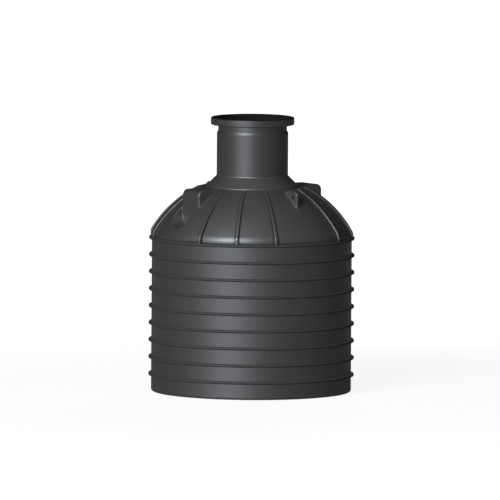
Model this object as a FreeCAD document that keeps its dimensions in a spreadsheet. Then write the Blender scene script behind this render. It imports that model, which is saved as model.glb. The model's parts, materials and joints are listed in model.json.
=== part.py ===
import FreeCAD, Part
import math
import os

import Sketcher

# Underground rainwater tank, moulded in polyethylene. The origin is the centre of the underside and
# +Z is up. The pipe connections face along -X (inlet) and +X (overflow), the lifting lugs -Y and +Y.

doc = FreeCAD.newDocument("rainwater_tank")

# Driving dimensions, in millimetres unless they count something.
DRIVING = (
    ("body_radius", 840.0),
    ("wall", 12.0),
    ("floor_thickness", 18.0),
    ("ring_count", 9),
    ("ring_pitch", 143.6),
    ("ring_width", 25.0),
    ("ring_depth", 24.0),
    ("ring_tip", 2.5),
    ("shoulder", 11.5),
    ("crown_radius", 964.0),
    ("knuckle_radius", 100.0),
    ("plateau_radius", 447.0),
    ("rib_places", 16),
    ("rib_width", 30.0),
    ("rib_height", 20.0),
    ("rib_rounding", 9.0),
    ("crest_growth", 39.0),
    ("crest_drop", 36.0),
    ("crest_knee", 60.0),
    ("boss_reach", 640.0),
    ("boss_width", 234.0),
    ("boss_rounding", 48.0),
    ("boss_edge", 12.0),
    ("pipe_drop", 196.4),
    ("lug_reach", 645.0),
    ("lug_root", 490.0),
    ("lug_thickness", 27.0),
    ("lug_corner", 44.0),
    ("lug_rounding", 6.0),
    ("eye_radius", 14.0),
    ("eye_inset", 54.0),
    ("eye_drop", 4.0),
    ("foot_radius", 389.0),
    ("foot_lip", 5.5),
    ("foot_lip_rounding", 10.0),
    ("foot_fillet", 14.0),
    ("neck_radius", 300.0),
    ("neck_length", 350.5),
    ("step_height", 22.0),
    ("rim_radius", 289.0),
    ("rim_length", 48.2),
    ("flange_radius", 351.0),
    ("flange_thickness", 62.0),
    ("flange_rounding", 9.0),
    ("socket_wall", 16.0),
)
sizes = doc.addObject("Spreadsheet::Sheet", "sizes")
for row, (alias, value) in enumerate(DRIVING, start=1):
    sizes.set("A%d" % row, alias)
    sizes.set("B%d" % row, str(value))
    sizes.setAlias("B%d" % row, alias)
doc.recompute()

# Sizes that follow from the driving ones, as expressions over the sheet.
BODY_R = "sizes.body_radius"
WALL = "sizes.wall"
TIP_X = "(sizes.ring_depth - sizes.ring_tip)"
TIP_SPAN = f"sqrt(sizes.ring_width^2 / 4 + {TIP_X}^2)"
TAPER = f"(acos(sizes.ring_tip / {TIP_SPAN}) - atan(2 * {TIP_X} / sizes.ring_width))"
WALL_TOP = "(sizes.ring_count * sizes.ring_pitch + sizes.ring_width / 2)"
SHOULDER_Z = f"({WALL_TOP} + sizes.shoulder)"
KNUCKLE_CENTRE = "(sizes.body_radius - sizes.knuckle_radius)"
CROWN_SPAN = "(sizes.crown_radius - sizes.knuckle_radius)"
CROWN_RISE = f"sqrt({CROWN_SPAN}^2 - {KNUCKLE_CENTRE}^2)"
CROWN_Z = f"({SHOULDER_Z} - {CROWN_RISE})"
PLATEAU_Z = f"({CROWN_Z} + sqrt(sizes.crown_radius^2 - sizes.plateau_radius^2))"
PIPE_Z = f"({PLATEAU_Z} - sizes.pipe_drop)"
CREST_R = "(sizes.crown_radius + sizes.crest_growth)"
CREST_Z = f"({CROWN_Z} - sizes.crest_drop)"
KNEE_CENTRE = f"({BODY_R} + sizes.rib_height - sizes.crest_knee)"
CREST_SPAN = f"({CREST_R} - sizes.crest_knee)"
CREST_RISE = f"sqrt({CREST_SPAN}^2 - {KNEE_CENTRE}^2)"
SECTOR = "(360 / sizes.rib_places)"
COLLAR_R = "(sizes.foot_radius + sizes.foot_lip - sqrt(2) * sizes.wall)"
BEND = "tan(22.5)"
FLARE_TOP = f"({PLATEAU_Z} + sizes.foot_lip + sizes.foot_radius - sizes.neck_radius)"
FOOT_TOP = f"({FLARE_TOP} + sizes.foot_fillet * {BEND})"
STEP_Z = f"({FOOT_TOP} + sizes.neck_length)"
RIM_Z = f"({STEP_Z} + sizes.step_height)"
FLANGE_Z = f"({RIM_Z} + sizes.rim_length)"
TOP_Z = f"({FLANGE_Z} + sizes.flange_thickness)"
SEAT_Z = f"({FLANGE_Z} + {WALL})"
SOCKET_R = "(sizes.flange_radius - sizes.socket_wall)"

ORIGIN_POINT = (-1, 1)
SNAP = 1e-6


def number(expression):
    """Value of an expression over the sheet."""
    return float(sizes.evalExpression(expression))


def centre_of(edge):
    """A sketch arc's third point, which is its centre."""
    return (edge, 3)


def origin_plane(body, role):
    return [f for f in body.Origin.OriginFeatures if f.Role == role][0]


def arc_between(start, end, radius, turn, centre=None):
    """Circle arc from start to end; turn is 1 anticlockwise and -1 clockwise."""
    if centre is None:
        chord = end - start
        side = FreeCAD.Vector(-chord.y, chord.x, 0).normalize() * turn
        centre = (start + end) * 0.5 + side * math.sqrt(radius**2 - (chord.Length / 2) ** 2)
    first, last = (start, end) if turn > 0 else (end, start)
    a_first = math.atan2(first.y - centre.y, first.x - centre.x)
    a_last = math.atan2(last.y - centre.y, last.x - centre.x)
    circle = Part.Circle(centre, FreeCAD.Vector(0, 0, 1), radius)
    return Part.ArcOfCircle(circle, a_first, a_last)


def outline(body, name, corners, curves=None, plane="XZ_Plane", offset=None):
    """Closed sketch with every corner held at a pair of expressions.

    A curve is held at its radius, or where it is half round or more, at its centre.
    """
    curves = curves or {}
    sketch = body.newObject("Sketcher::SketchObject", name)
    sketch.AttachmentSupport = (origin_plane(body, plane), [""])
    sketch.MapMode = "FlatFace"
    if offset:
        sketch.setExpression(".AttachmentOffset.Base.z", offset)
    points = [FreeCAD.Vector(number(u), number(v), 0) for u, v in corners]
    starts, ends = [], []
    for i, start in enumerate(points):
        end = points[(i + 1) % len(points)]
        if i in curves:
            radius, turn = curves[i][:2]
            centre = None
            if len(curves[i]) > 2:
                centre = FreeCAD.Vector(*(number(value) for value in curves[i][2]), 0)
            edge = sketch.addGeometry(arc_between(start, end, number(radius), turn, centre), False)
            starts.append((edge, 1 if turn > 0 else 2))
            ends.append((edge, 2 if turn > 0 else 1))
        else:
            edge = sketch.addGeometry(Part.LineSegment(start, end), False)
            starts.append((edge, 1))
            ends.append((edge, 2))
    for i, (u, v) in enumerate(corners):
        sketch.addConstraint(Sketcher.Constraint("Coincident", *ends[i - 1], *starts[i]))
        for kind, value, level in (("DistanceX", u, "Vertical"), ("DistanceY", v, "Horizontal")):
            if value == "0":
                sketch.addConstraint(Sketcher.Constraint(level, *ORIGIN_POINT, *starts[i]))
                continue
            held = Sketcher.Constraint(kind, *ORIGIN_POINT, *starts[i], number(value))
            sketch.setExpression("Constraints[%d]" % sketch.addConstraint(held), value)
    for i, curve in curves.items():
        edge = starts[i][0]
        held, value = Sketcher.Constraint("Radius", edge, number(curve[0])), curve[0]
        if len(curve) > 2:
            upright = abs(points[i].x - points[(i + 1) % len(points)].x) < SNAP
            kind, value = ("DistanceX", curve[2][0]) if upright else ("DistanceY", curve[2][1])
            held = Sketcher.Constraint(kind, *ORIGIN_POINT, *centre_of(edge), number(value))
        sketch.setExpression("Constraints[%d]" % sketch.addConstraint(held), value)
    return sketch


def new_body(name, angle=0.0):
    body = doc.addObject("PartDesign::Body", name)
    body.Placement = FreeCAD.Placement(FreeCAD.Vector(), FreeCAD.Rotation(FreeCAD.Vector(0, 0, 1), angle))
    return body


def turned(body, kind, sketch, angle):
    """Revolution or Groove about the tank's axis, centred on the sketch."""
    feature = body.newObject("PartDesign::" + kind, sketch.Name + "_turned")
    feature.Profile = sketch
    feature.ReferenceAxis = (sketch, ["V_Axis"])
    feature.Midplane = True
    feature.setExpression("Angle", angle)
    sketch.Visibility = False
    return feature


def padded(body, sketch, length):
    """Pad of equal length to both sides of the sketch."""
    feature = body.newObject("PartDesign::Pad", sketch.Name + "_padded")
    feature.Profile = sketch
    feature.SideType = "Symmetric"
    feature.setExpression("Length", length)
    return feature


def rings(body, feature, sketch):
    """Repeats a ring's feature up the wall."""
    pattern = body.newObject("PartDesign::LinearPattern", feature.Name + "_rows")
    pattern.Originals = [feature]
    pattern.Direction = (sketch, ["V_Axis"])
    pattern.setExpression("Length", "(sizes.ring_count - 1) * sizes.ring_pitch")
    pattern.setExpression("Occurrences", "sizes.ring_count")
    body.Tip = pattern
    return pattern


def rounded(body, feature, radius, wanted):
    """Fillet on the feature's edges that pass a test."""
    doc.recompute()
    names = ["Edge%d" % (i + 1) for i, edge in enumerate(feature.Shape.Edges) if wanted(edge)]
    fillet = body.newObject("PartDesign::Fillet", feature.Name + "_rounded")
    fillet.Base = (feature, names)
    fillet.setExpression("Radius", radius)
    return fillet


# Outer and inner skins of the dome


def skin_radius(inset):
    """Radius at which the crown, sunk by an inset, meets the plateau sunk by the same inset."""
    return f"sqrt((sizes.crown_radius - ({inset}))^2 - ({PLATEAU_Z} - ({inset}) - {CROWN_Z})^2)"


def tangent_point(inset):
    """Where the knuckle's arc runs into the crown's arc."""
    share = f"(sizes.crown_radius - ({inset})) / {CROWN_SPAN}"
    return (f"{share} * {KNUCKLE_CENTRE}", f"{CROWN_Z} + {share} * {CROWN_RISE}")


def knuckle_arc(inset):
    return f"sizes.knuckle_radius - ({inset})"


def crown_arc(inset):
    return f"sizes.crown_radius - ({inset})"


def dome_shell(body, angle):
    """Shoulder, knuckle, crown and flat plateau as one wall of even thickness."""
    corners = [
        (BODY_R, WALL_TOP),
        (BODY_R, SHOULDER_Z),
        tangent_point("0"),
        ("sizes.plateau_radius", PLATEAU_Z),
        (COLLAR_R, PLATEAU_Z),
        (COLLAR_R, f"{PLATEAU_Z} - {WALL}"),
        (skin_radius(WALL), f"{PLATEAU_Z} - {WALL}"),
        tangent_point(WALL),
        (f"{BODY_R} - {WALL}", SHOULDER_Z),
        (f"{BODY_R} - {WALL}", WALL_TOP),
    ]
    curves = {
        1: (knuckle_arc("0"), 1),
        2: (crown_arc("0"), 1),
        6: (crown_arc(WALL), -1),
        7: (knuckle_arc(WALL), -1),
    }
    return turned(body, "Revolution", outline(body, body.Name + "_skin", corners, curves), angle)


def meridian_rib(name, angle):
    """Rib rooted in the middle of the wall; its crest grows down the crown to a tight knee."""
    body = new_body(name, angle)
    root = f"{WALL} / 2"
    share = f"{CREST_R} / {CREST_SPAN}"
    corners = [
        (f"{BODY_R} + sizes.rib_height", WALL_TOP),
        (f"{BODY_R} + sizes.rib_height", f"{CREST_Z} + {CREST_RISE}"),
        (f"{share} * {KNEE_CENTRE}", f"{CREST_Z} + {share} * {CREST_RISE}"),
        (f"sqrt({CREST_R}^2 - ({PLATEAU_Z} - {CREST_Z})^2)", PLATEAU_Z),
        (f"sqrt((sizes.crown_radius - {root})^2 - ({PLATEAU_Z} - {CROWN_Z})^2)", PLATEAU_Z),
        tangent_point(root),
        (f"{BODY_R} - {root}", SHOULDER_Z),
        (f"{BODY_R} - {root}", WALL_TOP),
    ]
    curves = {
        1: ("sizes.crest_knee", 1),
        2: (CREST_R, 1),
        4: (crown_arc(root), -1),
        5: (knuckle_arc(root), -1),
    }
    strip = padded(body, outline(body, name + "_strip", corners, curves), "sizes.rib_width")
    crest = (number("sizes.crest_knee"), number(CREST_R))

    def on_crest(edge):
        if edge.BoundBox.YLength > SNAP:
            return False
        if isinstance(edge.Curve, Part.Circle):
            return min(abs(edge.Curve.Radius - radius) for radius in crest) < SNAP
        return edge.BoundBox.XMin > number(f"{BODY_R} + sizes.rib_height") - SNAP

    rounded(body, strip, "min(sizes.rib_rounding; sizes.rib_width / 2.1)", on_crest)
    return body


def dome_form(name, angle, inset, spread, overshoot):
    """Filled sector under a skin, with the pipe connection's hood raised and its recess cut away."""
    body = new_body(name, angle)
    inner = f"{COLLAR_R} - ({overshoot})"
    lower = f"{WALL_TOP} - ({overshoot})"
    level = f"{PLATEAU_Z} - ({inset})"
    face = f"sizes.boss_reach - ({inset})"
    edge = f"(sizes.boss_rounding - ({inset}))"
    half = f"(sizes.boss_width / 2 + ({inset}))"
    corners = [
        (inner, lower),
        (f"{BODY_R} - ({inset})", lower),
        (f"{BODY_R} - ({inset})", SHOULDER_Z),
        tangent_point(inset),
        (skin_radius(inset), level),
        (inner, level),
    ]
    curves = {2: (knuckle_arc(inset), 1), 3: (crown_arc(inset), 1)}
    turned(body, "Revolution", outline(body, name + "_sector", corners, curves), f"{SECTOR} * {spread}")
    hood = [
        (inner, PIPE_Z),
        (face, PIPE_Z),
        (face, f"{level} - {edge}"),
        (f"{face} - {edge}", level),
        (inner, level),
    ]
    profile = outline(body, name + "_hood", hood, {2: (edge, 1)})
    padded(body, profile, f"sizes.boss_width - 2 * ({inset})")
    recess = [
        (half, PIPE_Z),
        (half, f"{PLATEAU_Z} + {WALL}"),
        (f"-{half}", f"{PLATEAU_Z} + {WALL}"),
        (f"-{half}", PIPE_Z),
    ]
    opening = outline(body, name + "_recess", recess, {3: (half, 1, ("0", PIPE_Z))}, "YZ_Plane", face)
    pocket = body.newObject("PartDesign::Pocket", name + "_recess_cut")
    pocket.Profile = opening
    pocket.Reversed = True
    pocket.setExpression("Length", BODY_R)
    return body


# Sub-parts, each in the list under the name of its file

subparts = []


def finish(obj, label):
    obj.Label = label
    subparts.append(obj)


def repeat(form, label, place):
    """Clone of a form, turned about the tank's axis to one of the rib places."""
    body = new_body(label, number(SECTOR) * place)
    clone = body.newObject("PartDesign::FeatureBase", label + "_clone")
    clone.BaseFeature = form
    clone.Placement = form.Placement
    body.Tip = clone
    finish(body, label)


# Round floor with a quarter-round lower edge
base = new_body("base")
floor = outline(
    base,
    "floor",
    [
        ("0", "0"),
        (f"{BODY_R} - sizes.floor_thickness", "0"),
        (BODY_R, "sizes.floor_thickness"),
        ("0", "sizes.floor_thickness"),
    ],
    {1: ("sizes.floor_thickness", 1)},
)
turned(base, "Revolution", floor, "360")
finish(base, "base")

# Wall segment with its ring ribs, which taper to a round tip
segment = new_body("segment_form")
stave = outline(
    segment,
    "stave",
    [
        (f"{BODY_R} - {WALL}", "sizes.floor_thickness"),
        (BODY_R, "sizes.floor_thickness"),
        (BODY_R, WALL_TOP),
        (f"{BODY_R} - {WALL}", WALL_TOP),
    ],
)
turned(segment, "Revolution", stave, SECTOR)
tip_x = f"{BODY_R} + {TIP_X} + sizes.ring_tip * sin({TAPER})"
tip_half = f"sizes.ring_tip * cos({TAPER})"
ring = outline(
    segment,
    "ring",
    [
        (f"{BODY_R} - {WALL} / 2", "sizes.ring_pitch - sizes.ring_width / 2"),
        (BODY_R, "sizes.ring_pitch - sizes.ring_width / 2"),
        (tip_x, f"sizes.ring_pitch - {tip_half}"),
        (tip_x, f"sizes.ring_pitch + {tip_half}"),
        (BODY_R, "sizes.ring_pitch + sizes.ring_width / 2"),
        (f"{BODY_R} - {WALL} / 2", "sizes.ring_pitch + sizes.ring_width / 2"),
    ],
    {2: ("sizes.ring_tip", 1)},
)
rings(segment, turned(segment, "Revolution", ring, SECTOR), ring)

PLACES = int(number("sizes.rib_places"))
for place in range(PLACES):
    repeat(segment, "wall_segment_%02d" % (place + 1), place)

# Dome panels: with a pipe connection and the ribs on both its sides, with one rib, and plain
pipe_shell = doc.addObject("Part::Cut", "pipe_shell")
pipe_outer = dome_form("pipe_outer", 0, "0", "3", "0")


def beside_flat(box):
    """Whether an edge lies in one of the pipe connection's two sides."""
    side = max(abs(box.YMin), abs(box.YMax))
    return box.YLength < SNAP and abs(side - number("sizes.boss_width / 2")) < SNAP


def hood_edge(edge):
    """Edges at which the hood stands out from the crown."""
    if not beside_flat(edge.BoundBox):
        return False
    if isinstance(edge.Curve, Part.Circle):
        return abs(edge.Curve.Radius - number("sizes.boss_rounding")) < SNAP
    foot = "sqrt(sizes.crown_radius^2 - sizes.boss_reach^2 - sizes.boss_width^2 / 4)"
    return edge.BoundBox.ZMin > number(f"{CROWN_Z} + {foot}") - SNAP


def rim_edge(edge):
    """Rim of the recess, on both sides of the flat and round below it."""
    box = edge.BoundBox
    if beside_flat(box):
        return isinstance(edge.Curve, Part.Circle) and box.XMin > number("sizes.boss_reach") - SNAP
    reach = number("sizes.boss_width / 4")
    return isinstance(edge.Curve, Part.BSplineCurve) and box.YMin < -reach and box.YMax > reach


hood_rounded = rounded(pipe_outer, pipe_outer.Tip, "sizes.boss_edge", hood_edge)
rounded(pipe_outer, hood_rounded, "sizes.boss_edge", rim_edge)
pipe_shell.Base = pipe_outer
pipe_shell.Tool = dome_form("pipe_inner", 0, WALL, "3.5", f"2 * {WALL}")
pipe_panel = doc.addObject("Part::MultiFuse", "pipe_panel_form")
pipe_panel.Shapes = [
    pipe_shell,
    meridian_rib("pipe_rib_1", -number(SECTOR)),
    meridian_rib("pipe_rib_2", number(SECTOR)),
]
pipe_panel.Refine = True

plain_panel = new_body("plain_panel_form")
dome_shell(plain_panel, SECTOR)

rib_panel = doc.addObject("Part::MultiFuse", "rib_panel_form")
rib_shell = new_body("rib_shell")
dome_shell(rib_shell, SECTOR)
rib_panel.Shapes = [rib_shell, meridian_rib("panel_rib", 0)]
rib_panel.Refine = True

# Lifting lug: an upright fin that stands on the crown, with a round eye
lug = new_body("lug_form")
corner = "sizes.lug_corner"
fin = outline(
    lug,
    "fin",
    [
        ("sizes.lug_reach", f"{CROWN_Z} + sqrt(sizes.crown_radius^2 - sizes.lug_reach^2)"),
        ("sizes.lug_reach", f"{PLATEAU_Z} - {corner}"),
        (f"sizes.lug_reach - {corner}", PLATEAU_Z),
        ("sizes.lug_root", PLATEAU_Z),
        ("sizes.lug_root", f"{CROWN_Z} + sqrt(sizes.crown_radius^2 - sizes.lug_root^2)"),
    ],
    {1: (corner, 1), 4: ("sizes.crown_radius", -1)},
)
blank = padded(lug, fin, "sizes.lug_thickness")


def outer_edge(edge):
    box = edge.BoundBox
    return box.XMin > number("sizes.lug_reach") - SNAP and box.YLength < SNAP


rounded(lug, blank, "min(sizes.lug_rounding; sizes.lug_thickness / 2.1)", outer_edge)
eye = lug.newObject("Sketcher::SketchObject", "eye")
eye.AttachmentSupport = (origin_plane(lug, "XZ_Plane"), [""])
eye.MapMode = "FlatFace"
eye_x = "sizes.lug_reach - sizes.eye_inset"
# The eye lies a little below half the fin's height at its place.
fin_foot = f"({CROWN_Z} + sqrt(sizes.crown_radius^2 - ({eye_x})^2))"
eye_z = f"({PLATEAU_Z} + {fin_foot}) / 2 - sizes.eye_drop"
middle = FreeCAD.Vector(number(eye_x), number(eye_z), 0)
circle = Part.Circle(middle, FreeCAD.Vector(0, 0, 1), number("sizes.eye_radius"))
eye_edge = eye.addGeometry(circle, False)
for kind, value in (("DistanceX", eye_x), ("DistanceY", eye_z)):
    held = Sketcher.Constraint(kind, *ORIGIN_POINT, *centre_of(eye_edge), number(value))
    eye.setExpression("Constraints[%d]" % eye.addConstraint(held), value)
held = Sketcher.Constraint("Radius", eye_edge, number("sizes.eye_radius"))
eye.setExpression("Constraints[%d]" % eye.addConstraint(held), "sizes.eye_radius")
bore = lug.newObject("PartDesign::Pocket", "eye_bore")
bore.Profile = eye
bore.SideType = "Symmetric"
bore.setExpression("Length", "2 * sizes.lug_thickness")
doc.recompute()

# A quarter turn holds a quarter of the rib places. Its first place carries a pipe connection on +X
# and -X and a lifting lug on +Y and -Y, and each of the others a rib.
QUARTER = PLACES // 4
PIPE_PANELS = {0: "overflow_panel", 2 * QUARTER: "inlet_panel"}
LUG_PANELS = {QUARTER: "back", 3 * QUARTER: "front"}
BESIDE_PIPE = {(centre + side) % PLACES for centre in PIPE_PANELS for side in (1, -1)}

panel_number = 0
for place in range(PLACES):
    if place in PIPE_PANELS:
        repeat(pipe_panel, PIPE_PANELS[place], place)
    elif place in LUG_PANELS:
        repeat(plain_panel, "lug_panel_" + LUG_PANELS[place], place)
        repeat(lug, "lifting_lug_" + LUG_PANELS[place], place)
    elif place not in BESIDE_PIPE:
        panel_number += 1
        repeat(rib_panel, "dome_panel_%d" % panel_number, place)

# Neck: flared foot on the plateau, tube with a stepped top, and rim that widens to a socket for the cover
lip = f"sizes.foot_lip_rounding * {BEND}"
bend = f"sizes.foot_fillet * {BEND}"
foot = new_body("neck_foot")
flare = outline(
    foot,
    "flare",
    [
        (COLLAR_R, PLATEAU_Z),
        ("sizes.foot_radius", PLATEAU_Z),
        ("sizes.foot_radius", f"{PLATEAU_Z} + sizes.foot_lip - {lip}"),
        (f"sizes.foot_radius - {lip} / sqrt(2)", f"{PLATEAU_Z} + sizes.foot_lip + {lip} / sqrt(2)"),
        (f"sizes.neck_radius + {bend} / sqrt(2)", f"{FLARE_TOP} - {bend} / sqrt(2)"),
        ("sizes.neck_radius", FOOT_TOP),
        (f"sizes.neck_radius - {WALL}", FOOT_TOP),
        (f"sizes.neck_radius - {WALL}", f"{FLARE_TOP} - {WALL} * {BEND}"),
    ],
    {2: ("sizes.foot_lip_rounding", 1), 4: ("sizes.foot_fillet", -1)},
)
turned(foot, "Revolution", flare, "360")
finish(foot, "neck_foot")

tube = new_body("neck_tube")
stem = outline(
    tube,
    "stem",
    [
        (f"sizes.neck_radius - {WALL}", FOOT_TOP),
        ("sizes.neck_radius", FOOT_TOP),
        ("sizes.neck_radius", STEP_Z),
        ("sizes.rim_radius", RIM_Z),
        (f"sizes.rim_radius - {WALL}", RIM_Z),
        (f"sizes.neck_radius - {WALL}", STEP_Z),
    ],
)
turned(tube, "Revolution", stem, "360")
finish(tube, "neck_tube")

rim = new_body("neck_rim")
flange_edge = "sizes.flange_rounding"
section = outline(
    rim,
    "rim_section",
    [
        (f"sizes.rim_radius - {WALL}", RIM_Z),
        ("sizes.rim_radius", RIM_Z),
        ("sizes.rim_radius", FLANGE_Z),
        (f"sizes.flange_radius - {flange_edge}", FLANGE_Z),
        ("sizes.flange_radius", f"{FLANGE_Z} + {flange_edge}"),
        ("sizes.flange_radius", f"{TOP_Z} - {flange_edge}"),
        (f"sizes.flange_radius - {flange_edge}", TOP_Z),
        (SOCKET_R, TOP_Z),
        (SOCKET_R, SEAT_Z),
        (f"sizes.rim_radius - {WALL}", SEAT_Z),
    ],
    {3: (flange_edge, 1), 5: (flange_edge, 1)},
)
turned(rim, "Revolution", section, "360")
finish(rim, "neck_rim")

doc.recompute()

for obj in doc.Objects:
    if {"Invalid", "Error"} & set(obj.State):
        raise RuntimeError("%s did not build: %s" % (obj.Name, obj.State))
for obj in subparts:
    if obj.Shape.isNull() or not obj.Shape.isValid() or len(obj.Shape.Solids) != 1:
        raise RuntimeError("%s is not one valid solid" % obj.Label)

os.makedirs("parts", exist_ok=True)
for obj in subparts:
    obj.Shape.exportStep("parts/%s.step" % obj.Label)
print("wrote %d sub-parts" % len(subparts))
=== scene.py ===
"""Underground rainwater tank: moulded polyethylene skin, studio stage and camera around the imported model."""

import json
import math

import bmesh
import bpy
from mathutils import Matrix, Vector

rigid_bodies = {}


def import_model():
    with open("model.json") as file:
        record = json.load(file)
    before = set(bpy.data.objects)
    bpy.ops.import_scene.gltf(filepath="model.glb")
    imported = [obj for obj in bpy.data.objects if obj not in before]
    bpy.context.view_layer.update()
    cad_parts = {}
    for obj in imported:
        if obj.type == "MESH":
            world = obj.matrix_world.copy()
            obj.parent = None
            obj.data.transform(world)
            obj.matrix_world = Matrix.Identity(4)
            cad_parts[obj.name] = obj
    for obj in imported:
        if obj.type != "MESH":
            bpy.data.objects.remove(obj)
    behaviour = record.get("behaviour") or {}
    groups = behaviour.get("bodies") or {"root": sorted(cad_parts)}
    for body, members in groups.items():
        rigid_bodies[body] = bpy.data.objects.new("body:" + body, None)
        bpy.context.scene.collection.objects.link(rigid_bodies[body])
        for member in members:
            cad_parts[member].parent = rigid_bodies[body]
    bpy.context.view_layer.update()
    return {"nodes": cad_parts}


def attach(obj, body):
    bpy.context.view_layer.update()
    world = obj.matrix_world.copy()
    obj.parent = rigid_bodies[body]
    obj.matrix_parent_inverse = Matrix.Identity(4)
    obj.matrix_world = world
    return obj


bl_info = {
    "name": "Underground rainwater tank",
    "version": (1, 0, 0),
    "blender": (4, 5, 0),
    "location": "View3D > Sidebar > Rain tank",
    "description": "Finishes the moulded tank and sets its studio stage",
    "category": "Object",
}

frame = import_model()
NODES = frame["nodes"]

WALL_NODES = sorted(n for n in NODES if n.startswith("wall_segment"))
DOME_NODES = sorted(n for n in NODES if "panel_" in n)
PIPE_NODES = sorted(n for n in NODES if n.endswith("_panel"))
LUG_NODES = sorted(n for n in NODES if n.startswith("lifting_lug"))
NECK_NODES = sorted(n for n in NODES if n.startswith("neck_"))

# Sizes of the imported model, in metres.
SOCKET_RADIUS = 0.336
STEP_HEIGHT = 2.17532
RIM_HEIGHT = 2.19732
LIP_HEIGHT = 2.3005
BODY_RADIUS = 0.84
RING_COUNT = 9
RING_PITCH = 0.1436
RING_DEPTH = 0.024
CROWN_RADIUS = 0.964
CROWN_CENTRE = 0.87042
LUG_INNER, LUG_OUTER, LUG_HALF = 0.49, 0.645, 0.0135
LUG_CORNER = 0.006
PIPE_HALF = 0.2

# Meshes of the scene's own.
RING_ROWS = 14
RING_SEGMENTS = 288
RING_BLUNTNESS = 0.75
RING_SINK = 0.0005
FILLET_ROWS = 8
FILLET_SINK = 0.0003
CORNER_STEPS = 6
LUG_SPACING = 0.008
SHARP_ANGLE = math.radians(50)

# Painted light and shade of each skin: a level that lightens or darkens its tone and gloss part by part, and
# its roughness where that isn't the finish's own.
SKINS = {
    "wall": {"painted_light_level": 0.95},
    # Painted shade: the ring ribs are set much darker than the wall.
    "ring": {"gloss": 0.85, "painted_light_level": 0.65},
    "dome": {"gloss": 0.455, "painted_light_level": 1.08},
    "pipe": {"gloss": 0.455, "painted_light_level": 1.03},
    "foot": {"painted_light_level": 1.08},
    "neck": {"gloss": 0.45, "painted_light_level": 0.9},
}
PEEL_SCALE = 28.0
CLOUD_SCALE = 5.0
COAT_SHARE = 0.72
# Colour of the painted shade: a dark matt skin at rib roots, under the neck's foot and inside the mouth.
PAINTED_SHADE_COLOUR = (0.008, 0.008, 0.0082, 1.0)
STEP_LEVELLING = 0.5

# Painted shade at the roots of ribs and lugs: reach of the ambient occlusion, how closed it is at both ends,
# the band under the neck's foot, and the shares of dark matt skin laid as painted shade at rib roots, under
# the foot and on the collar's lip.
CREASE_DEPTH = 0.025
CREASE_OPEN, CREASE_CLOSED = 0.95, 0.55
CREASE_RADIUS = 0.405
PAINTED_ROOT_SHADE, PAINTED_FOOT_SHADE, PAINTED_LIP_SHADE = 0.8, 0.6, 0.9

# Studio: lights are placed relative to the camera's azimuth, in degrees.
LIGHT_AIM = (0.0, 0.0, 1.1)
KEY_PLACE = (-27.4, 22.2)
KEY_DISTANCE = 80.0
KEY_SIZE = (41.0, 36.0)
KEY_COLOUR = (0.93, 0.98, 1.06)
BACK_PLACE = (170.0, 25.0)
BACK_DISTANCE = 30.0
BACK_SIZE = (12.0, 12.0)
ROOM_RADIUS = 50.0
FLOOR_RADIUS = 45.0
FLOOR_DROP = 0.002
FLOOR_NEAR, FLOOR_FAR = 2.5, 8.0
FLOOR_WHITE = 0.88
FLOOR_MATT = 0.16
SENSOR_WIDTH = 36.0
LENS = 1600.0
PICTURE_PIXELS = 500
PIXELS_ASIDE = 1.8


class Socket:
    """A shader socket that takes part in Python expressions."""

    def __init__(self, tree, link):
        self.tree = tree
        self.link = link

    def math(self, operation, first, second):
        return self.tree.node("ShaderNodeMath", {"operation": operation}, {0: first, 1: second})[0]

    def __add__(self, other):
        return self.math("ADD", self, other)

    def __radd__(self, other):
        return self.math("ADD", other, self)

    def __sub__(self, other):
        return self.math("SUBTRACT", self, other)

    def __rsub__(self, other):
        return self.math("SUBTRACT", other, self)

    def __mul__(self, other):
        return self.math("MULTIPLY", self, other)

    def __rmul__(self, other):
        return self.math("MULTIPLY", other, self)


class Outputs:
    """A node's outputs, by name or number, as sockets for expressions."""

    def __init__(self, tree, node):
        self.tree = tree
        self.shader_node = node

    def __getitem__(self, key):
        return Socket(self.tree, self.shader_node.outputs[key])


class Tree:
    """Node tree of a material or world."""

    def __init__(self, owner):
        owner.use_nodes = True
        self.nodes = owner.node_tree.nodes
        self.links = owner.node_tree.links
        self.nodes.clear()

    def node(self, kind, settings=None, sockets=None):
        """A node of one type, with its settings first and then the values or links of its sockets."""
        made = self.nodes.new(kind)
        for key, value in (settings or {}).items():
            setattr(made, key, value)
        for key, value in (sockets or {}).items():
            target = made.inputs[key]
            if isinstance(value, Socket):
                self.links.new(value.link, target)
            else:
                target.default_value = value
        return Outputs(self, made)


class TankFinish(bpy.types.PropertyGroup):
    colour: bpy.props.FloatVectorProperty(
        name="Colour",
        description="Colour of the moulded polyethylene",
        subtype="COLOR",
        size=3,
        min=0.0,
        max=1.0,
        default=(0.0405, 0.0388, 0.0363),
    )
    gloss: bpy.props.FloatProperty(
        name="Roughness",
        description="Roughness of the satin skin",
        subtype="FACTOR",
        min=0.0,
        max=1.0,
        default=0.48,
    )
    ring_width: bpy.props.FloatProperty(
        name="Ring width",
        description="Width of the rounded ring ribs at the wall",
        subtype="DISTANCE",
        unit="LENGTH",
        min=0.025,
        default=0.026,
    )
    lug_fillet: bpy.props.FloatProperty(
        name="Lug fillet",
        description="Radius of the moulding at the foot of the lifting lugs",
        subtype="DISTANCE",
        unit="LENGTH",
        min=0.002,
        max=0.022,
        default=0.02,
    )
    corner: bpy.props.FloatProperty(
        name="Corner",
        description="Rounding of the edges that the mould leaves soft",
        subtype="DISTANCE",
        unit="LENGTH",
        min=0.001,
        default=0.015,
    )
    grain: bpy.props.FloatProperty(
        name="Grain",
        description="Spacing of the fine skin left by the mould",
        subtype="DISTANCE",
        unit="LENGTH",
        min=0.0005,
        default=0.004,
    )


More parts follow.
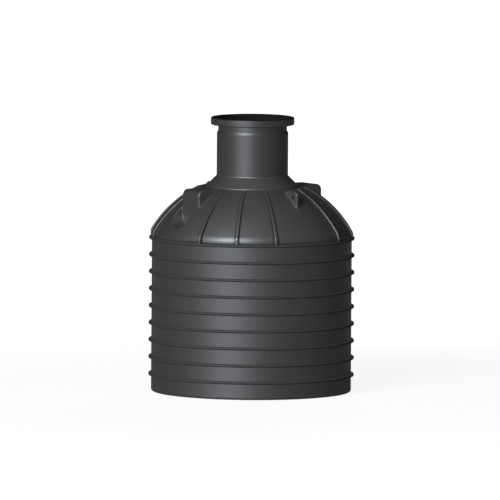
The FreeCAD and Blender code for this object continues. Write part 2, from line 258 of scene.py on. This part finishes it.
class TankStage(bpy.types.PropertyGroup):
    azimuth: bpy.props.FloatProperty(
        name="Azimuth",
        description="Camera's place round the tank",
        subtype="ANGLE",
        unit="ROTATION",
        default=math.radians(-36.4),
    )
    elevation: bpy.props.FloatProperty(
        name="Elevation",
        description="Camera's height above the horizon",
        subtype="ANGLE",
        unit="ROTATION",
        default=math.radians(5.15),
    )
    roll: bpy.props.FloatProperty(
        name="Roll",
        description="Camera's tilt about its line of sight",
        subtype="ANGLE",
        unit="ROTATION",
        default=math.radians(0.38),
    )
    view_width: bpy.props.FloatProperty(
        name="View width",
        description="Width that the picture covers at the tank",
        subtype="DISTANCE",
        unit="LENGTH",
        default=4.199,
    )
    view_height: bpy.props.FloatProperty(
        name="View height",
        description="Height on the tank's axis at the middle of the picture",
        subtype="DISTANCE",
        unit="LENGTH",
        default=1.1870,
    )
    key_power: bpy.props.FloatProperty(
        name="Key light",
        description="Power of the large soft light at the left",
        unit="POWER",
        default=68000.0,
    )
    back_power: bpy.props.FloatProperty(
        name="Back light",
        description="Power of the soft light behind the tank, which leaves no highlight",
        unit="POWER",
        default=2500.0,
    )
    room_front: bpy.props.FloatProperty(
        name="Room, front",
        description="Brightness of the studio's walls on the camera's side",
        default=0.17,
    )
    room_back: bpy.props.FloatProperty(
        name="Room, back",
        description="Brightness of the studio's walls behind the tank",
        default=0.015,
    )
    mirror_share: bpy.props.FloatProperty(
        name="White in reflections",
        description="Share of the floor's white that reflections show",
        subtype="FACTOR",
        min=0.0,
        max=1.0,
        default=0.03,
    )


def moulded_skin(name, finish, gloss=None, painted_light_level=1.0, corners=None, painted_shade=None):
    """Satin polyethylene: fine mould grain, cloudy gloss and a faint bloom.

    The level of painted light scales the tone, the specular level and the coat, lighter or darker part by part
    as painted light and shade. Corners is a function of the tree, point, normal and finish that gives softer
    normals, and the last argument one of the tree, point and normal that masks the faces where a dark matt
    skin is laid as painted shade.
    """
    material = bpy.data.materials.new(name)
    tree = Tree(material)
    place = tree.node("ShaderNodeNewGeometry")
    point = place["Position"]
    normal = place["Normal"]
    if corners:
        normal = corners(tree, point, normal, finish)
    grain = tree.node(
        "ShaderNodeTexNoise",
        None,
        {"Vector": point, "Scale": 1.0 / finish.grain, "Detail": 2.0, "Roughness": 0.5},
    )["Fac"]
    peel = tree.node(
        "ShaderNodeTexNoise", None, {"Vector": point, "Scale": PEEL_SCALE, "Detail": 3.0, "Roughness": 0.55}
    )["Fac"]
    cloud = tree.node(
        "ShaderNodeTexNoise", None, {"Vector": point, "Scale": CLOUD_SCALE, "Detail": 4.0, "Roughness": 0.6}
    )["Fac"]
    # Painted light and shade: the level lightens or darkens the tone here and the gloss below.
    base = Vector(finish.colour) * painted_light_level
    shade = tree.node(
        "ShaderNodeMix",
        {"data_type": "RGBA"},
        {"Factor": cloud, "A": (*(base * 0.9), 1.0), "B": (*(base * 1.1), 1.0)},
    )[2]
    level = finish.gloss if gloss is None else gloss
    rough = level + (cloud - 0.5) * 0.1 + (peel - 0.5) * 0.04
    bump = tree.node(
        "ShaderNodeBump",
        None,
        {"Strength": 0.25, "Distance": 0.0006, "Height": grain * 0.35 + peel, "Normal": normal},
    )["Normal"]
    skin = tree.node(
        "ShaderNodeBsdfPrincipled",
        None,
        {
            "Base Color": shade,
            "Roughness": rough,
            "Specular IOR Level": painted_light_level,
            "Coat Weight": (0.7 + (cloud - 0.5) * 0.3) * painted_light_level,
            "Coat Roughness": level * COAT_SHARE,
            "Normal": bump,
        },
    )["BSDF"]
    # Painted shade: a dark matt skin is mixed in where the mask lays shade.
    if painted_shade:
        matt = tree.node(
            "ShaderNodeBsdfPrincipled",
            None,
            {"Base Color": PAINTED_SHADE_COLOUR, "Roughness": 0.85, "Specular IOR Level": 0.15},
        )["BSDF"]
        share = painted_shade(tree, point, place["Normal"])
        skin = tree.node("ShaderNodeMixShader", None, {0: share, 1: skin, 2: matt})["Shader"]
    tree.node("ShaderNodeOutputMaterial", None, {"Surface": skin})
    return material


def blend_normals(tree, share, first, second):
    return tree.node("ShaderNodeMix", {"data_type": "VECTOR"}, {"Factor": share, "A": first, "B": second})[1]


def pipe_corners(tree, point, normal, finish):
    """Rounds the edges of the pipe connection, and leaves the panel's seams alone."""
    across = tree.node("ShaderNodeSeparateXYZ", None, {0: point})["Y"]
    near = across.math("LESS_THAN", across * across, PIPE_HALF**2)
    rounded = tree.node("ShaderNodeBevel", {"samples": 8}, {"Radius": finish.corner})["Normal"]
    return blend_normals(tree, near, normal, rounded)


def step_corner(tree, point, normal, finish):
    """Flattens the taper of the neck's step, so that it catches the light as a line."""
    height = tree.node("ShaderNodeSeparateXYZ", None, {0: point})["Z"]
    near = height.math("GREATER_THAN", height, STEP_HEIGHT) * height.math("LESS_THAN", height, RIM_HEIGHT)
    level = reach_of(tree, point)[1]
    outward = tree.node("ShaderNodeVectorMath", {"operation": "NORMALIZE"}, {0: level})["Vector"]
    return blend_normals(tree, near * STEP_LEVELLING, normal, outward)


def reach_of(tree, point):
    """Distance from the tank's axis, and the level part of a point."""
    flat = (1.0, 1.0, 0.0)
    level = tree.node("ShaderNodeVectorMath", {"operation": "MULTIPLY"}, {0: point, 1: flat})["Vector"]
    return tree.node("ShaderNodeVectorMath", {"operation": "LENGTH"}, {0: level})["Value"], level


def painted_mouth_shade(tree, point, normal):
    """Painted shade on faces towards the neck's axis, on the cover's seat and on the edge of the collar."""
    reach, level = reach_of(tree, point)
    outward = tree.node("ShaderNodeVectorMath", {"operation": "DOT_PRODUCT"}, {0: level, 1: normal})["Value"]
    inner = outward.math("LESS_THAN", outward, -0.02)
    upward = tree.node("ShaderNodeSeparateXYZ", None, {0: normal})["Z"]
    height = tree.node("ShaderNodeSeparateXYZ", None, {0: point})["Z"]
    seat = reach.math("LESS_THAN", reach, SOCKET_RADIUS) * upward.math("GREATER_THAN", upward, 0.5)
    inner = inner.math("MAXIMUM", inner, seat * height.math("GREATER_THAN", height, STEP_HEIGHT))
    lip = PAINTED_LIP_SHADE * height.math("GREATER_THAN", height, LIP_HEIGHT)
    return inner.math("MAXIMUM", inner, lip)


def painted_foot_shade(tree, point, normal):
    """Painted shade on a narrow band of the crown that lies under the lip of the neck's foot."""
    reach, level = reach_of(tree, point)
    return PAINTED_FOOT_SHADE * reach.math("LESS_THAN", reach, CREASE_RADIUS)


def painted_crease_shade(tree, point, normal):
    """Painted shade at the roots of the ribs and lugs, from ambient occlusion, with the painted band at the
    neck's foot.
    """
    foot = painted_foot_shade(tree, point, normal)
    shade = tree.node("ShaderNodeAmbientOcclusion", {"samples": 8}, {"Distance": CREASE_DEPTH})["AO"]
    root = tree.node(
        "ShaderNodeMapRange",
        {"interpolation_type": "SMOOTHSTEP"},
        {"Value": shade, "From Min": CREASE_OPEN, "From Max": CREASE_CLOSED},
    )["Result"]
    return foot.math("MAXIMUM", foot, root * PAINTED_ROOT_SHADE)


def painted_pipe_shade(tree, point, normal):
    """Painted shade at the roots of the ribs beside the pipe connection; its own edges get none and stay soft
    and light.
    """
    across = tree.node("ShaderNodeSeparateXYZ", None, {0: point})["Y"]
    return painted_crease_shade(tree, point, normal) * across.math("GREATER_THAN", across * across, PIPE_HALF**2)


def add_piece(name, points, faces, material):
    """A closed smooth mesh of the scene's own, which rides on the tank."""
    mesh = bpy.data.meshes.new(name)
    mesh.from_pydata(points, [], faces)
    shell = bmesh.new()
    shell.from_mesh(mesh)
    bmesh.ops.recalc_face_normals(shell, faces=shell.faces)
    shell.to_mesh(mesh)
    shell.free()
    mesh.shade_smooth()
    mesh.set_sharp_from_angle(angle=SHARP_ANGLE)
    mesh.materials.append(material)
    piece = bpy.data.objects.new(name, mesh)
    bpy.context.scene.collection.objects.link(piece)
    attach(piece, "root")
    return piece


def swept(rows):
    """Points and faces of a surface through closed rows of points, with the last row joined to the first."""
    count = len(rows[0])
    points = [point for row in rows for point in row]
    faces = []
    for k in range(len(rows)):
        here, there = k * count, (k + 1) % len(rows) * count
        for i in range(count):
            j = (i + 1) % count
            faces.append((here + i, here + j, there + j, there + i))
    return points, faces


def ring_rows(height, width):
    """Rows round the tank of one ring rib, with a blunt half oval as its section."""
    rows = []
    angles = [2 * math.pi * i / RING_SEGMENTS for i in range(RING_SEGMENTS)]
    for k in range(RING_ROWS + 1):
        turn = math.pi * (k / RING_ROWS - 0.5)
        radius = BODY_RADIUS - RING_SINK + (RING_DEPTH + RING_SINK) * math.cos(turn) ** RING_BLUNTNESS
        level = height + width / 2 * math.copysign(abs(math.sin(turn)) ** RING_BLUNTNESS, turn)
        rows.append([(radius * math.cos(a), radius * math.sin(a), level) for a in angles])
    return rows


def lug_outline():
    """Points round the foot of a lifting lug, each with its outward direction, as reach and offset."""
    path = []
    middle_in, middle_out = LUG_INNER + LUG_CORNER, LUG_OUTER - LUG_CORNER
    across = LUG_HALF - LUG_CORNER
    corners = ((middle_out, across), (middle_in, across), (middle_in, -across), (middle_out, -across))
    for quarter, (reach, offset) in enumerate(corners):
        for k in range(CORNER_STEPS + 1):
            angle = math.pi / 2 * (quarter + k / CORNER_STEPS)
            aim = (math.cos(angle), math.sin(angle))
            path.append((reach + LUG_CORNER * aim[0], offset + LUG_CORNER * aim[1], aim))
    finer = []
    for first, second in zip(path, path[1:] + path[:1]):
        steps = max(1, round(math.dist(first[:2], second[:2]) / LUG_SPACING))
        for k in range(steps):
            share = k / steps
            finer.append((*(a + (b - a) * share for a, b in zip(first[:2], second[:2])), first[2]))
    return finer


def fillet_rows(radius, side):
    """Rows of the concave moulding between a lug and the crown, and of its hidden corner.

    Side is 1 at the front of the tank and -1 at the back.
    """
    turns = [math.pi / 2 * k / FILLET_ROWS for k in range(FILLET_ROWS + 1)]
    section = [(radius * (1 - math.cos(turn)), radius * (1 - math.sin(turn))) for turn in turns]
    rows = []
    for spread, lift in (*section, (0.0, 0.0)):
        row = []
        for reach, offset, aim in lug_outline():
            u = reach + aim[0] * spread
            v = offset + aim[1] * spread
            crown = CROWN_CENTRE + math.sqrt(CROWN_RADIUS**2 - u * u - v * v)
            row.append((v * side, -u * side, crown + lift - FILLET_SINK))
        rows.append(row)
    return rows


def give_finish(names, material):
    for name in names:
        slots = NODES[name].data.materials
        slots.clear()
        slots.append(material)


class TANK_OT_wall(bpy.types.Operator):
    """Finishes the base and the ringed wall"""

    bl_idname = "tank.wall"
    bl_label = "Wall and base"

    def execute(self, context):
        finish = context.scene.tank_finish
        give_finish(["base", *WALL_NODES], moulded_skin("moulded_wall", finish, **SKINS["wall"]))
        return {"FINISHED"}


class TANK_OT_rings(bpy.types.Operator):
    """Rounds the wall's ring ribs, which are duller than the wall and painted darker as shade"""

    bl_idname = "tank.rings"
    bl_label = "Ring ribs"

    def execute(self, context):
        finish = context.scene.tank_finish
        material = moulded_skin("moulded_ring", finish, **SKINS["ring"])
        for place in range(1, RING_COUNT + 1):
            rows = ring_rows(place * RING_PITCH, finish.ring_width)
            add_piece("ring_rib_%d" % place, *swept(rows), material)
        return {"FINISHED"}


class TANK_OT_dome(bpy.types.Operator):
    """Finishes the ribbed dome with its pipe connections and lifting lugs"""

    bl_idname = "tank.dome"
    bl_label = "Dome and lugs"

    def execute(self, context):
        finish = context.scene.tank_finish
        # Painted shade at the roots of the ribs and lugs.
        material = moulded_skin("moulded_dome", finish, **SKINS["dome"], painted_shade=painted_crease_shade)
        give_finish([*DOME_NODES, *LUG_NODES], material)
        for name, side in (("lug_foot_front", 1), ("lug_foot_back", -1)):
            add_piece(name, *swept(fillet_rows(finish.lug_fillet, side)), material)
        # Painted shade at rib roots beside the pipe connection, not on its own edges.
        pipe = moulded_skin("moulded_pipe", finish, **SKINS["pipe"], corners=pipe_corners, painted_shade=painted_pipe_shade)
        give_finish(PIPE_NODES, pipe)
        return {"FINISHED"}


class TANK_OT_neck(bpy.types.Operator):
    """Finishes the flanged access neck"""

    bl_idname = "tank.neck"
    bl_label = "Neck"

    def execute(self, context):
        finish = context.scene.tank_finish
        # Painted shade inside the mouth and on the collar's lip.
        foot = moulded_skin("moulded_foot", finish, **SKINS["foot"], painted_shade=painted_mouth_shade)
        shaft = moulded_skin("moulded_neck", finish, **SKINS["neck"], corners=step_corner, painted_shade=painted_mouth_shade)
        for name in NECK_NODES:
            give_finish([name], foot if name == "neck_foot" else shaft)
        return {"FINISHED"}


def area_light(name, towards, distance, size, power):
    """Soft light that stands in a direction from the tank and faces it."""
    lamp = bpy.data.lights.new(name, "AREA")
    lamp.shape = "RECTANGLE"
    lamp.size, lamp.size_y = size
    lamp.energy = power
    holder = bpy.data.objects.new(name, lamp)
    bpy.context.scene.collection.objects.link(holder)
    holder.location = Vector(LIGHT_AIM) + towards * distance
    holder.rotation_mode = "QUATERNION"
    holder.rotation_quaternion = (-towards).to_track_quat("-Z", "Y")
    return holder


def linked(name, objects, state):
    """Collection that a light's links use, of objects that it takes in or leaves out."""
    group = bpy.data.collections.new(name)
    for item in objects:
        group.objects.link(item)
    for link in group.collection_objects:
        link.light_linking.link_state = state
    return group


def direction(azimuth, elevation):
    """Unit vector from the tank towards a place round it."""
    level = math.cos(elevation)
    return Vector((math.sin(azimuth) * level, -math.cos(azimuth) * level, math.sin(elevation)))


class TANK_OT_stage(bpy.types.Operator):
    """Sets the floor, the soft studio light and the camera"""

    bl_idname = "tank.stage"
    bl_label = "Stage"

    def execute(self, context):
        scene = context.scene
        stage = scene.tank_stage
        scene.view_settings.view_transform = "Standard"
        self.add_camera(scene, stage)
        self.add_world(scene)
        floor = self.add_floor(scene, stage)
        self.add_room(scene, stage)
        self.add_key(stage, floor)
        towards = direction(stage.azimuth + math.radians(BACK_PLACE[0]), math.radians(BACK_PLACE[1]))
        back = area_light("back", towards, BACK_DISTANCE, BACK_SIZE, stage.back_power)
        back.visible_glossy = False
        return {"FINISHED"}

    def add_key(self, stage, floor):
        """One key light for the tank, which its ribs don't shade, and its twin for the floor alone."""
        shades = ("wall_segment", "ring_rib", "neck_rim")
        ribs = [item for item in bpy.data.objects if item.name.startswith(shades)]
        towards = direction(stage.azimuth + math.radians(KEY_PLACE[0]), math.radians(KEY_PLACE[1]))
        for name, state in (("key", "EXCLUDE"), ("key_floor", "INCLUDE")):
            lamp = area_light(name, towards, KEY_DISTANCE, KEY_SIZE, stage.key_power)
            lamp.data.color = KEY_COLOUR
            lamp.light_linking.receiver_collection = linked(name + "_receivers", [floor], state)
            if state == "EXCLUDE":
                lamp.light_linking.blocker_collection = linked(name + "_blockers", ribs, state)

    def add_camera(self, scene, stage):
        camera = bpy.data.cameras.new("camera")
        camera.sensor_width = SENSOR_WIDTH
        camera.lens = LENS
        distance = stage.view_width * LENS / SENSOR_WIDTH
        back = direction(stage.azimuth, stage.elevation)
        holder = bpy.data.objects.new("camera", camera)
        scene.collection.objects.link(holder)
        holder.rotation_mode = "QUATERNION"
        turn = (-back).to_track_quat("-Z", "Y").to_matrix() @ Matrix.Rotation(stage.roll, 3, "Z")
        holder.rotation_quaternion = turn.to_quaternion()
        right = turn @ Vector((1.0, 0.0, 0.0))
        aside = PIXELS_ASIDE / PICTURE_PIXELS * stage.view_width
        holder.location = Vector((0.0, 0.0, stage.view_height)) + back * distance - right * aside
        camera.clip_start = 1.0
        camera.clip_end = distance * 2
        scene.camera = holder

    def add_world(self, scene):
        world = bpy.data.worlds.new("studio")
        scene.world = world
        tree = Tree(world)
        white = tree.node("ShaderNodeBackground", None, {"Color": (1.0, 1.0, 1.0, 1.0), "Strength": 1.0})
        tree.node("ShaderNodeOutputWorld", None, {"Surface": white["Background"]})

    def add_room(self, scene, stage):
        """Dim walls round the whole stage, which only light and reflections meet."""
        mesh = bpy.data.meshes.new("room")
        shell = bmesh.new()
        bmesh.ops.create_icosphere(shell, subdivisions=4, radius=ROOM_RADIUS)
        shell.to_mesh(mesh)
        shell.free()
        room = bpy.data.objects.new("room", mesh)
        room.visible_camera = False
        room.visible_shadow = False
        scene.collection.objects.link(room)
        material = bpy.data.materials.new("room_wall")
        tree = Tree(material)
        point = tree.node("ShaderNodeNewGeometry")["Position"]
        ahead = tree.node(
            "ShaderNodeVectorMath",
            {"operation": "DOT_PRODUCT"},
            {0: point, 1: direction(stage.azimuth, 0.0) / ROOM_RADIUS},
        )["Value"]
        share = tree.node(
            "ShaderNodeMapRange",
            {"interpolation_type": "SMOOTHSTEP"},
            {"Value": ahead, "From Min": -0.6, "From Max": 0.5},
        )["Result"]
        height = tree.node("ShaderNodeSeparateXYZ", None, {0: point})["Z"]
        share = share * (0.8 + height * 0.014)
        front, back = stage.room_front, stage.room_back
        grey = tree.node(
            "ShaderNodeMix",
            {"data_type": "RGBA"},
            {"Factor": share, "A": (back, back, back, 1.0), "B": (front, front, front, 1.0)},
        )[2]
        wall = tree.node("ShaderNodeEmission", None, {"Color": grey, "Strength": 1.0})
        tree.node("ShaderNodeOutputMaterial", None, {"Surface": wall["Emission"]})
        mesh.materials.append(material)

    def add_floor(self, scene, stage):
        mesh = bpy.data.meshes.new("floor")
        disc = bmesh.new()
        bmesh.ops.create_circle(disc, cap_ends=True, segments=96, radius=FLOOR_RADIUS)
        disc.to_mesh(mesh)
        disc.free()
        floor = bpy.data.objects.new("floor", mesh)
        floor.location.z = -FLOOR_DROP
        scene.collection.objects.link(floor)
        material = bpy.data.materials.new("pale_floor")
        tree = Tree(material)
        path = tree.node("ShaderNodeLightPath")
        mirrored = path["Is Glossy Ray"] + path["Is Transmission Ray"]
        seen = path["Is Camera Ray"] + mirrored * stage.mirror_share
        point = tree.node("ShaderNodeNewGeometry")["Position"]
        distance = tree.node("ShaderNodeVectorMath", {"operation": "LENGTH"}, {0: point})["Value"]
        far = tree.node(
            "ShaderNodeMapRange",
            {"interpolation_type": "SMOOTHSTEP"},
            {"Value": distance, "From Min": FLOOR_NEAR, "From Max": FLOOR_FAR},
        )["Result"]
        shade = tree.node(
            "ShaderNodeMix",
            {"data_type": "RGBA"},
            {"Factor": far, "A": (FLOOR_WHITE, FLOOR_WHITE, FLOOR_WHITE, 1.0), "B": (1.0, 1.0, 1.0, 1.0)},
        )[2]
        matt = tree.node("ShaderNodeBsdfDiffuse", None, {"Color": (FLOOR_MATT, FLOOR_MATT, FLOOR_MATT, 1.0)})
        white = tree.node("ShaderNodeEmission", None, {"Color": shade, "Strength": 1.0})
        both = tree.node("ShaderNodeAddShader", None, {0: matt["BSDF"], 1: white["Emission"]})
        mixed = tree.node("ShaderNodeMixShader", None, {0: seen, 1: matt["BSDF"], 2: both["Shader"]})
        tree.node("ShaderNodeOutputMaterial", None, {"Surface": mixed["Shader"]})
        mesh.materials.append(material)
        return floor


class TANK_PT_panel(bpy.types.Panel):
    """Lists the tank's finishes and steps"""

    bl_idname = "TANK_PT_panel"
    bl_label = "Rainwater tank"
    bl_space_type = "VIEW_3D"
    bl_region_type = "UI"
    bl_category = "Rain tank"

    def draw(self, context):
        for group in (context.scene.tank_finish, context.scene.tank_stage):
            box = self.layout.box()
            for name in group.bl_rna.properties.keys():
                if name not in ("rna_type", "name"):
                    box.prop(group, name)
        for step in OPERATORS:
            self.layout.operator(step.bl_idname)


OPERATORS = (TANK_OT_wall, TANK_OT_rings, TANK_OT_dome, TANK_OT_neck, TANK_OT_stage)
CLASSES = (TankFinish, TankStage, *OPERATORS, TANK_PT_panel)


def register():
    for item in CLASSES:
        bpy.utils.register_class(item)
    bpy.types.Scene.tank_finish = bpy.props.PointerProperty(type=TankFinish)
    bpy.types.Scene.tank_stage = bpy.props.PointerProperty(type=TankStage)


def unregister():
    del bpy.types.Scene.tank_stage
    del bpy.types.Scene.tank_finish
    for item in reversed(CLASSES):
        bpy.utils.unregister_class(item)


def main():
    register()
    bpy.ops.tank.wall()
    bpy.ops.tank.rings()
    bpy.ops.tank.dome()
    bpy.ops.tank.neck()
    bpy.ops.tank.stage()


if __name__ == "__main__":
    main()
